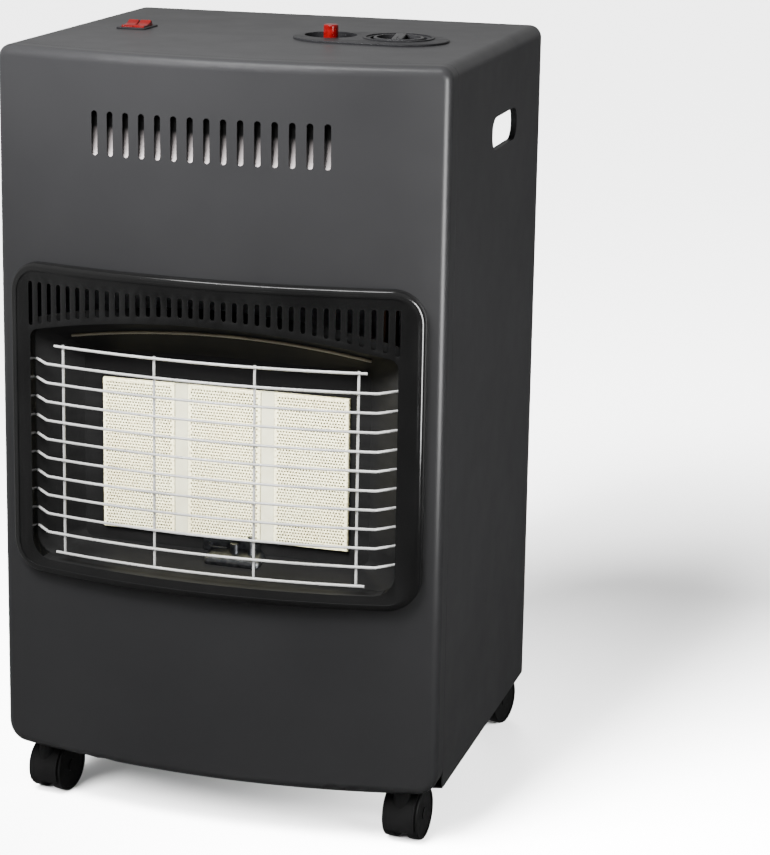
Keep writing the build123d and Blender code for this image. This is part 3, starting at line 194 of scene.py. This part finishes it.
# One dictionary for each finish. Colours are linear, sizes are in metres: patch is the size of the
# slow changes of colour and gloss, grain the size of the small relief and relief its height.
# Stretch squeezes the pattern along x, y and z. A speckle is a share of small dark spots, and a painted
# shade darkens the piece from one height to another: shade painted into the colour, not cast by a lamp.
finishes = {
    "cabinet_paint": {
        "colours": ((0.0019, 0.0019, 0.0020), (0.0022, 0.0022, 0.0023)), "patch": 0.12,
        "gloss": (0.36, 0.40), "grain": 0.0011, "relief": 0.00003, "specular": 0.26,
    },
    "black_enamel": {
        "colours": ((0.0016, 0.0016, 0.0015), (0.0030, 0.0027, 0.0024)), "patch": 0.06,
        "gloss": (0.12, 0.20), "grain": 0.003, "relief": 0.00002, "specular": 0.5,
    },
    "surround_enamel": {
        "colours": ((0.0004, 0.0004, 0.0004), (0.0007, 0.0007, 0.0007)), "patch": 0.05,
        "gloss": (0.12, 0.18), "grain": 0.003, "relief": 0.00002, "specular": 0.45,
    },
    "box_enamel": {
        "colours": ((0.0015, 0.0015, 0.0015), (0.0022, 0.0022, 0.0022)), "patch": 0.03,
        "gloss": (0.36, 0.48), "grain": 0.002, "relief": 0.00003, "specular": 0.03,
        "stretch": (0.3, 1, 3),
    },
    "plated_steel": {
        "colours": ((0.55, 0.56, 0.58), (0.42, 0.43, 0.43)), "patch": 0.03,
        "gloss": (0.30, 0.45), "grain": 0.0012, "relief": 0.00003, "metal": 1.0, "stretch": (1, 1, 6),
    },
    "burner_ceramic": {
        "colours": ((0.262, 0.256, 0.166), (0.258, 0.236, 0.142)), "patch": 0.045,
        "gloss": (0.80, 0.95), "grain": 0.0012, "relief": 0.0001, "specular": 0.15,
        "speckle": {"size": 0.0022, "share": 0.8, "colour": (0.15, 0.130, 0.078)},
    },
    "joint_ceramic": {
        "colours": ((0.172, 0.168, 0.120), (0.150, 0.144, 0.100)), "patch": 0.012,
        "gloss": (0.85, 0.98), "grain": 0.0009, "relief": 0.00012, "specular": 0.1,
    },
    "guard_chrome": {
        "colours": ((0.13, 0.13, 0.128), (0.095, 0.095, 0.093)), "patch": 0.05,
        "gloss": (0.26, 0.36), "grain": 0.002, "relief": 0.00001, "metal": 0.5,
    },
    "zinc_with_painted_shade": {
        "colours": ((0.042, 0.038, 0.038), (0.032, 0.029, 0.029)), "patch": 0.02,
        "gloss": (0.45, 0.60), "grain": 0.0012, "relief": 0.00003, "specular": 0.2,
        # painted shade: the deflector's upper part is darkened as if shadowed by the panel over the vents
        "paintedShade": {"from": 0.641, "to": 0.668, "colour": (0.0004, 0.0004, 0.0004)},
    },
    "burner_steel": {
        "colours": ((0.46, 0.45, 0.44), (0.33, 0.31, 0.29)), "patch": 0.03,
        "gloss": (0.34, 0.50), "grain": 0.0025, "relief": 0.00005, "metal": 1.0, "stretch": (1, 1, 3),
    },
    "blued_steel": {
        "colours": ((0.16, 0.165, 0.175), (0.06, 0.062, 0.068)), "patch": 0.006,
        "gloss": (0.30, 0.48), "grain": 0.0008, "relief": 0.00002, "metal": 1.0,
    },
    # the rib's brownish colour is a painted reflection of the cream tiles in the box's black enamel
    "rib_painted_reflection": {
        "colours": ((0.030, 0.026, 0.016), (0.020, 0.016, 0.010)), "patch": 0.02,
        "gloss": (0.28, 0.38), "grain": 0.001, "relief": 0.00002, "specular": 0.5,
    },
    "brass": {
        "colours": ((0.66, 0.47, 0.20), (0.50, 0.34, 0.14)), "patch": 0.012,
        "gloss": (0.20, 0.34), "grain": 0.0008, "relief": 0.00002, "metal": 1.0, "stretch": (1, 5, 1),
    },
    "copper_pipe": {
        "colours": ((0.30, 0.155, 0.10), (0.17, 0.085, 0.055)), "patch": 0.03,
        "gloss": (0.34, 0.50), "grain": 0.0012, "relief": 0.00002, "metal": 1.0,
    },
    "cast_body": {
        "colours": ((0.50, 0.50, 0.51), (0.38, 0.38, 0.39)), "patch": 0.02,
        "gloss": (0.42, 0.60), "grain": 0.0009, "relief": 0.00010, "metal": 1.0,
    },
    "bright_steel": {
        "colours": ((0.62, 0.62, 0.63), (0.50, 0.50, 0.51)), "patch": 0.02,
        "gloss": (0.16, 0.28), "grain": 0.0006, "relief": 0.00001, "metal": 1.0, "stretch": (1, 1, 8),
    },
    "spring_steel": {
        "colours": ((0.50, 0.51, 0.53), (0.36, 0.37, 0.38)), "patch": 0.006,
        "gloss": (0.18, 0.30), "grain": 0.0004, "relief": 0.00001, "metal": 1.0,
    },
    "white_insulator": {
        "colours": ((0.82, 0.81, 0.78), (0.74, 0.72, 0.67)), "patch": 0.008,
        "gloss": (0.18, 0.30), "grain": 0.0008, "relief": 0.00002, "specular": 0.5, "coat": 0.3,
    },
    "lead_sleeve": {
        "colours": ((0.50, 0.05, 0.03), (0.38, 0.035, 0.02)), "patch": 0.01,
        "gloss": (0.48, 0.62), "grain": 0.0006, "relief": 0.00006, "specular": 0.4,
    },
    "control_plastic": {
        "colours": ((0.0008, 0.0008, 0.0009), (0.0013, 0.0013, 0.0014)), "patch": 0.03,
        "gloss": (0.30, 0.40), "grain": 0.0007, "relief": 0.00003, "specular": 0.14,
    },
    "knob_plastic": {
        "colours": ((0.0010, 0.0010, 0.0011), (0.0016, 0.0016, 0.0017)), "patch": 0.015,
        "gloss": (0.24, 0.34), "grain": 0.0005, "relief": 0.00003, "specular": 0.3,
    },
    "red_button": {
        "colours": ((0.017, 0.0002, 0.0003), (0.008, 0.0001, 0.0001)), "patch": 0.005,
        "gloss": (0.14, 0.22), "grain": 0.0008, "relief": 0.00001, "specular": 0.3, "coat": 0.1,
    },
    "red_rocker": {
        "colours": ((0.017, 0.0002, 0.0002), (0.008, 0.0001, 0.0001)), "patch": 0.006,
        "gloss": (0.12, 0.22), "grain": 0.0009, "relief": 0.00001, "specular": 0.3, "coat": 0.1,
    },
    "pale_plastic": {
        "colours": ((0.70, 0.69, 0.65), (0.62, 0.61, 0.57)), "patch": 0.02,
        "gloss": (0.34, 0.46), "grain": 0.0007, "relief": 0.00003, "specular": 0.4,
    },
    "fin_aluminium": {
        "colours": ((0.12, 0.118, 0.115), (0.07, 0.068, 0.066)), "patch": 0.01,
        "gloss": (0.40, 0.55), "grain": 0.0008, "relief": 0.00002, "metal": 1.0, "stretch": (1, 1, 4),
    },
    "motor_iron": {
        "colours": ((0.24, 0.235, 0.23), (0.16, 0.15, 0.145)), "patch": 0.01,
        "gloss": (0.40, 0.56), "grain": 0.0010, "relief": 0.00012, "metal": 1.0, "stretch": (0.15, 6, 6),
    },
    "castor_plastic": {
        "colours": ((0.0009, 0.0009, 0.0009), (0.0013, 0.0013, 0.0013)), "patch": 0.02,
        "gloss": (0.36, 0.48), "grain": 0.0006, "relief": 0.00004, "specular": 0.08,
    },
}
noiseLook = {
    "middle": (0.3, 0.7),      # the span of a noise's values that is used
    "spots": (0.5, 0.62),      # and the one where a speckle's spots begin and are full
    "colourDetail": 4.0,
    "spotDetail": 1.0,
    "glossDetail": 5.0,
    "glossPatch": 1 / 3,       # of the colour's patch
    "grainDetail": 2.0,
    "coatRoughness": 0.06,
}


def addNode(material, kind, settings=None, **links):
    made = material.node_tree.nodes.new(kind)
    for key, value in (settings or {}).items():
        if key in made.inputs:
            made.inputs[key].default_value = value
        else:
            setattr(made, key, value)
    for key, source in links.items():
        material.node_tree.links.new(source, made.inputs[key])
    return made


def placed(material, stretch=(1, 1, 1)):
    place = addNode(material, "ShaderNodeTexCoord").outputs["Object"]
    return addNode(material, "ShaderNodeMapping", {"Scale": stretch}, Vector=place).outputs["Vector"]


def cloudy(material, size, detail, stretch=(1, 1, 1)):
    look = {"Scale": 1 / size, "Detail": detail}
    return addNode(material, "ShaderNodeTexNoise", look, Vector=placed(material, stretch)).outputs["Fac"]


def blended(material, share, first, second):
    mix = addNode(material, "ShaderNodeMix", {"data_type": "RGBA"})
    colourSockets = [s for s in mix.inputs if s.type == "RGBA"]
    for socket, colour in zip(colourSockets, (first, second)):
        if isinstance(colour, bpy.types.NodeSocket):
            material.node_tree.links.new(colour, socket)
        else:
            socket.default_value = (*colour, 1)
    material.node_tree.links.new(share, mix.inputs["Factor"])
    return next(s for s in mix.outputs if s.type == "RGBA")


def ranged(material, value, low, high, span):
    spread = {"From Min": span[0], "From Max": span[1], "To Min": low, "To Max": high}
    return addNode(material, "ShaderNodeMapRange", spread, Value=value).outputs["Result"]


def raised(material, height, relief):
    look = {"Distance": relief, "Strength": 1.0}
    return addNode(material, "ShaderNodeBump", look, Height=height).outputs["Normal"]


def speckled(material, colour, spots):
    noise = cloudy(material, spots["size"], noiseLook["spotDetail"])
    return blended(material, ranged(material, noise, 0, spots["share"], noiseLook["spots"]), colour,
                   spots["colour"])


# paints shade into the colour, darker from one height to another
def withPaintedShade(material, colour, paintedShade):
    height = addNode(material, "ShaderNodeSeparateXYZ", Vector=placed(material)).outputs["Z"]
    share = ranged(material, height, 0, 1, (paintedShade["from"], paintedShade["to"]))
    return blended(material, share, colour, paintedShade["colour"])


def makeFinish(name, look):
    material = bpy.data.materials.new(name)
    material.use_nodes = True
    shader = material.node_tree.nodes["Principled BSDF"]
    links = material.node_tree.links
    stretch = look.get("stretch", (1, 1, 1))
    middle = noiseLook["middle"]
    slow = cloudy(material, look["patch"], noiseLook["colourDetail"], stretch)
    colour = blended(material, ranged(material, slow, 0, 1, middle), *look["colours"])
    if "speckle" in look:
        colour = speckled(material, colour, look["speckle"])
    if "paintedShade" in look:
        colour = withPaintedShade(material, colour, look["paintedShade"])
    links.new(colour, shader.inputs["Base Color"])
    gloss = cloudy(material, look["patch"] * noiseLook["glossPatch"], noiseLook["glossDetail"], stretch)
    links.new(ranged(material, gloss, *look["gloss"], middle), shader.inputs["Roughness"])
    fine = cloudy(material, look["grain"], noiseLook["grainDetail"], stretch)
    links.new(raised(material, fine, look["relief"]), shader.inputs["Normal"])
    shader.inputs["Metallic"].default_value = look.get("metal", 0)
    shader.inputs["Specular IOR Level"].default_value = look.get("specular", 0.5)
    shader.inputs["Coat Weight"].default_value = look.get("coat", 0)
    shader.inputs["Coat Roughness"].default_value = noiseLook["coatRoughness"]
    return material


materials = {name: makeFinish(name, look) for name, look in finishes.items()}

ownFinish = {  # nodes whose finish differs from the rest of their slot
    "heat_box": "box_enamel",
    "pilot_burner": "blued_steel",
    "spark_electrode": "blued_steel",
    "thermocouple": "blued_steel",
}


slotOf = {part["node"]: part["material_slot"] for part in record["subparts"]}
bodyOf = {node: body for body, names in record["behaviour"]["bodies"].items() for node in names}


def dressNodes():
    for node, slot in slotOf.items():
        shown = nodes[node].data
        shown.materials.clear()
        shown.materials.append(materials[ownFinish.get(node, slot)])


dressNodes()
print("finishes made,", len(materials))

modelling = {
    "near": 1e-5,         # how close two points are to be taken as one
    "flat": 0.5,          # degrees between faces that count as one flat face
    "smooth": 35,         # degrees between faces that are shaded as one surface
    "bevelFrom": 40,      # degrees from which an edge is eased
}
near = modelling["near"]


def pick(*pieces):
    bpy.ops.object.select_all(action="DESELECT")
    for piece in pieces:
        piece.select_set(True)
    bpy.context.view_layer.objects.active = pieces[0]


def settle(piece, size=(1, 1, 1)):
    # gives a new primitive its size and puts its place into its mesh
    piece.scale = size
    pick(piece)
    bpy.ops.object.transform_apply(location=True, rotation=True, scale=True)
    return piece


def addBlock(low, high):
    bpy.ops.object.select_all(action="DESELECT")
    bpy.ops.mesh.primitive_cube_add(size=1, location=(Vector(low) + Vector(high)) / 2)
    return settle(bpy.context.object, Vector(high) - Vector(low))


def addFront(x, y, z, width, height):
    # a sheet that faces the front
    bpy.ops.object.select_all(action="DESELECT")
    bpy.ops.mesh.primitive_plane_add(size=1, location=(x, y, z), rotation=(pi / 2, 0, 0))
    return settle(bpy.context.object, (width, height, 1))


def choose(piece, test, kind="FACE"):
    # opens the piece in edit mode with only the parts selected that pass the test
    pick(piece)
    bpy.ops.object.mode_set(mode="EDIT")
    bpy.ops.mesh.select_mode(type=kind)
    bpy.ops.mesh.select_all(action="DESELECT")
    bpy.ops.object.mode_set(mode="OBJECT")
    points = piece.data.vertices
    if kind == "FACE":
        for face in piece.data.polygons:
            face.select = test(face.center, face.normal)
    elif kind == "EDGE":
        for edge in piece.data.edges:
            edge.select = test(*(points[i].co for i in edge.vertices))
    else:
        for point in points:
            point.select = test(point.co)
    bpy.ops.object.mode_set(mode="EDIT")


def leave():
    bpy.ops.object.mode_set(mode="OBJECT")


def weld(piece):
    choose(piece, lambda co: True, "VERT")
    bpy.ops.mesh.remove_doubles(threshold=near)
    leave()


def modify(piece, kind, **settings):
    pick(piece)
    bpy.ops.object.modifier_add(type=kind)
    modifier = piece.modifiers[-1]
    for key, value in settings.items():
        setattr(modifier, key, value)
    bpy.ops.object.modifier_apply(modifier=modifier.name)


def easeEdges(piece, width, steps):
    modify(piece, "BEVEL", width=width, segments=steps, limit_method="ANGLE",
           angle_limit=radians(modelling["bevelFrom"]), use_clamp_overlap=True)


def repeat(piece, count, step):
    modify(piece, "ARRAY", count=count, use_relative_offset=False, use_constant_offset=True,
           constant_offset_displace=step, use_merge_vertices=True, merge_threshold=near)


def joined(*pieces):
    pick(*pieces)
    bpy.ops.object.join()
    return bpy.context.object


def finished(piece, name, body, slot, finish=None, smooth=modelling["smooth"], stands=()):
    # names a piece, dresses it, and ties it to its body and to the nodes it stands for
    pick(piece)
    bpy.ops.object.shade_smooth_by_angle(angle=radians(smooth))
    piece.name = name
    piece.data.name = name
    piece.data.materials.clear()
    piece.data.materials.append(materials[finish or slot])
    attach(piece, body)
    if stands:
        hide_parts(*stands)
    return piece


def copyOf(node):
    # the CAD node's shape as one welded mesh, with its flat faces whole again
    copied = bpy.data.objects.new(node, nodes[node].data.copy())
    bpy.context.scene.collection.objects.link(copied)
    weld(copied)
    choose(copied, lambda centre, normal: True)
    bpy.ops.mesh.dissolve_limited(angle_limit=radians(modelling["flat"]))
    leave()
    return copied


# Ceramic tiles: a plain rim round a field of small holes, each second row shifted by half a hole.
tileLook = {
    "rim": 0.0024,
    "columns": 24,
    "rowPairs": 24,
    "web": 0.17,      # of a hole's cell, between the hole and the cell's side
    "corner": 0.29,   # of the hole's side, cut off at its corners
    "depth": 0.004,
    "chamfer": 0.0006,
    "smooth": 20,
}


def makeHole(x, y, z, width, height):
    web = tileLook["web"] * width
    cell = addFront(x, y, z, width, height)
    choose(cell, lambda centre, normal: True)
    bpy.ops.mesh.inset(thickness=web)
    bpy.ops.mesh.bevel(offset=tileLook["corner"] * (width - 2 * web), affect="VERTICES")
    leave()
    middle = Vector((x, y, z))
    choose(cell, lambda centre, normal: (centre - middle).length < web / 4)
    bpy.ops.mesh.extrude_region_move(TRANSFORM_OT_translate={"value": (0, tileLook["depth"], 0)})
    leave()
    return cell


def makeTile(node):
    low, high = (Vector(corner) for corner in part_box(node))
    rim, columns, pairs = tileLook["rim"], tileLook["columns"], tileLook["rowPairs"]
    width = (high.x - low.x - 2 * rim) / columns
    height = (high.z - low.z - 2 * rim) / pairs / 2
    left, foot, front = low.x + rim, low.z + rim, low.y
    evenRow = makeHole(left + width / 2, front, foot + height / 2, width, height)
    repeat(evenRow, columns, (width, 0, 0))
    oddRow = makeHole(left + width, front, foot + 1.5 * height, width, height)
    repeat(oddRow, columns - 1, (width, 0, 0))
    ends = [addFront(x, front, foot + 1.5 * height, width / 2, height)
            for x in (left + width / 4, high.x - rim - width / 4)]
    field = joined(evenRow, oddRow, *ends)
    repeat(field, pairs, (0, 0, 2 * height))
    body = addBlock(low, high)
    choose(body, lambda a, b: max(a.y, b.y) < low.y + near, "EDGE")
    bpy.ops.mesh.bevel(offset=tileLook["chamfer"])
    leave()
    choose(body, lambda centre, normal: normal.y < -0.99)
    bpy.ops.mesh.inset(thickness=rim - tileLook["chamfer"])
    bpy.ops.mesh.delete(type="FACE")
    leave()
    tile = joined(body, field)
    weld(tile)
    name = node.replace("plaque", "ceramicTile")
    return finished(tile, name, bodyOf[node], slotOf[node], smooth=tileLook["smooth"], stands=(node,))


for place in ("left", "centre", "right"):
    makeTile(f"plaque_{place}")
print("ceramic tiles made")

# The burner's surround, with its edges eased as an enamelled pressing's are.
surroundLook = {
    "round": 0.0005,
    "steps": 2,
    "smooth": 40,
    "lipTop": 0.26,     # below this height the faces that look up are the duller lip's
    "lipLevel": 0.9,
}


def makeSurround(look):
    shell = copyOf("burner_surround")
    easeEdges(shell, look["round"], look["steps"])
    finished(shell, "surroundPressing", "cabinet", "black_enamel", "surround_enamel", look["smooth"],
             ("burner_surround",))
    shell.data.materials.append(materials["box_enamel"])
    choose(shell, lambda centre, normal: normal.z > look["lipLevel"] and centre.z < look["lipTop"])
    shell.active_material_index = 1
    bpy.ops.object.material_slot_assign()
    leave()


makeSurround(surroundLook)
print("surround made")

# The hood over the pilot flame: a small pressed cap on the back wall of the heat box.
hoodLook = {
    "reach": 0.021,
    "low": 0.2545,
    "high": 0.2690,
    "fall": 0.0060,    # of its top towards the front
    "left": -0.0150,
    "right": 0.0400,
    "round": 0.0050,
    "roundSteps": 7,
    "sheet": 0.0005,
    "wallDepth": 0.004,    # of the wall behind the tiles' faces
}


def makeHood(look):
    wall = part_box("plaque_centre")[0][1] + look["wallDepth"]
    hood = addBlock((look["left"], wall - look["reach"], look["low"]), (look["right"], wall, look["high"]))
    choose(hood, lambda centre, normal: normal.y > 0.9)
    bpy.ops.mesh.delete(type="ONLY_FACE")
    leave()
    front = wall - look["reach"] + near
    choose(hood, lambda co: co.y < front and co.z > look["low"] + near, "VERT")
    bpy.ops.transform.translate(value=(0, 0, -look["fall"]))
    leave()
    choose(hood, lambda a, b: min(a.y, b.y) < front, "EDGE")
    bpy.ops.mesh.bevel(offset=look["round"], segments=look["roundSteps"])
    leave()
    modify(hood, "SOLIDIFY", thickness=look["sheet"], offset=-1)
    return finished(hood, "pilotHood", "cabinet", "bright_steel", "blued_steel")


makeHood(hoodLook)
print("pilot hood made")

# The pressed rib that follows the arch inside the heat box.
# Its brownish colour is a painted reflection of the tiles in the black enamel of the box.
ribLook = {
    "radius": 0.0014,
    "half": 0.146,
    "crown": 0.4770,
    "archRadius": 0.905,
    "y": -0.1662,
    "steps": 48,
    "sides": 12,
}


def makeRib(look):
    radius = look["archRadius"]
    middle = Vector((0, look["y"], look["crown"] - radius))
    turn = asin(look["half"] / radius)
    start = middle + Vector((-look["half"], 0, radius * cos(turn)))
    bpy.ops.object.select_all(action="DESELECT")
    bpy.ops.mesh.primitive_circle_add(vertices=look["sides"], radius=look["radius"], fill_type="NGON",
                                      location=start, rotation=(0, pi / 2 - turn, 0))
    rib = settle(bpy.context.object)
    choose(rib, lambda centre, normal: True)
    bpy.ops.mesh.spin(steps=look["steps"], angle=-2 * turn, center=middle, axis=(0, 1, 0))
    leave()
    return finished(rib, "boxRib", "cabinet", "black_enamel", "rib_painted_reflection")


makeRib(ribLook)
print("rib made")

# The curved sheet behind the upper vents, which turns the fan's air towards the front.
# Its finish paints shade over its upper part, as the panel above the vents would throw it.
deflectorLook = {
    "radius": 0.7670,
    "centre": (0, 0.5671),
    "half": 0.120,
    "depth": 0.006,
    "foot": 0.6400,
    "height": 0.0450,
    "sheet": 0.0006,
    "arcSteps": 8,
    "steps": 32,
}


def makeDeflector(look):
    # one point, extruded into a quarter of an ellipse, then spun along the bowed panel
    turn = asin(look["half"] / look["radius"])
    x, y = look["centre"]

    def along(step):
        a = pi / 2 * step / look["arcSteps"]
        inward = look["radius"] - look["depth"] * sin(a)
        z = look["foot"] + look["height"] * (1 - cos(a))
        return Vector((x - inward * sin(turn), y - inward * cos(turn), z))

    bpy.ops.object.select_all(action="DESELECT")
    bpy.ops.mesh.primitive_circle_add(vertices=3, radius=look["sheet"], location=along(0))
    strip = settle(bpy.context.object)
    choose(strip, lambda co: True, "VERT")
    bpy.ops.mesh.merge(type="CENTER")
    for step in range(look["arcSteps"]):
        bpy.ops.mesh.extrude_region_move(TRANSFORM_OT_translate={"value": along(step + 1) - along(step)})
    bpy.ops.mesh.select_all(action="SELECT")
    bpy.ops.mesh.spin(steps=look["steps"], angle=-2 * turn, center=(x, y, look["foot"]), axis=(0, 0, 1))
    leave()
    modify(strip, "SOLIDIFY", thickness=look["sheet"], offset=0)
    return finished(strip, "ventDeflector", "cabinet", "plated_steel", "zinc_with_painted_shade")


makeDeflector(deflectorLook)
print("deflector made")

# Copies of small moulded pieces with their edges rounded as the real ones are.
mouldedLook = {
    "rocker_left": {"name": "rockerCapLeft", "round": 0.0010, "steps": 2, "soft": 2},
    "rocker_right": {"name": "rockerCapRight", "round": 0.0010, "steps": 2, "soft": 2},
    "piezo_button": {"name": "buttonCap", "round": 0.0012, "steps": 4, "soft": 0},
    "control_knob": {"name": "knobCap", "round": 0.0009, "steps": 3, "soft": 0},
    "switch_housing": {"name": "switchBezel", "round": 0.0007, "steps": 3, "soft": 0},
    "control_plate": {"name": "controlTray", "round": 0.0008, "steps": 3, "soft": 0},
}
mouldedSmooth = 40


def makeMoulded(node, look):
    cap = copyOf(node)
    easeEdges(cap, look["round"], look["steps"])
    if look["soft"]:
        modify(cap, "SUBSURF", levels=look["soft"])
    return finished(cap, look["name"], bodyOf[node], slotOf[node], smooth=mouldedSmooth, stands=(node,))


for node, look in mouldedLook.items():
    makeMoulded(node, look)
print("moulded pieces made")
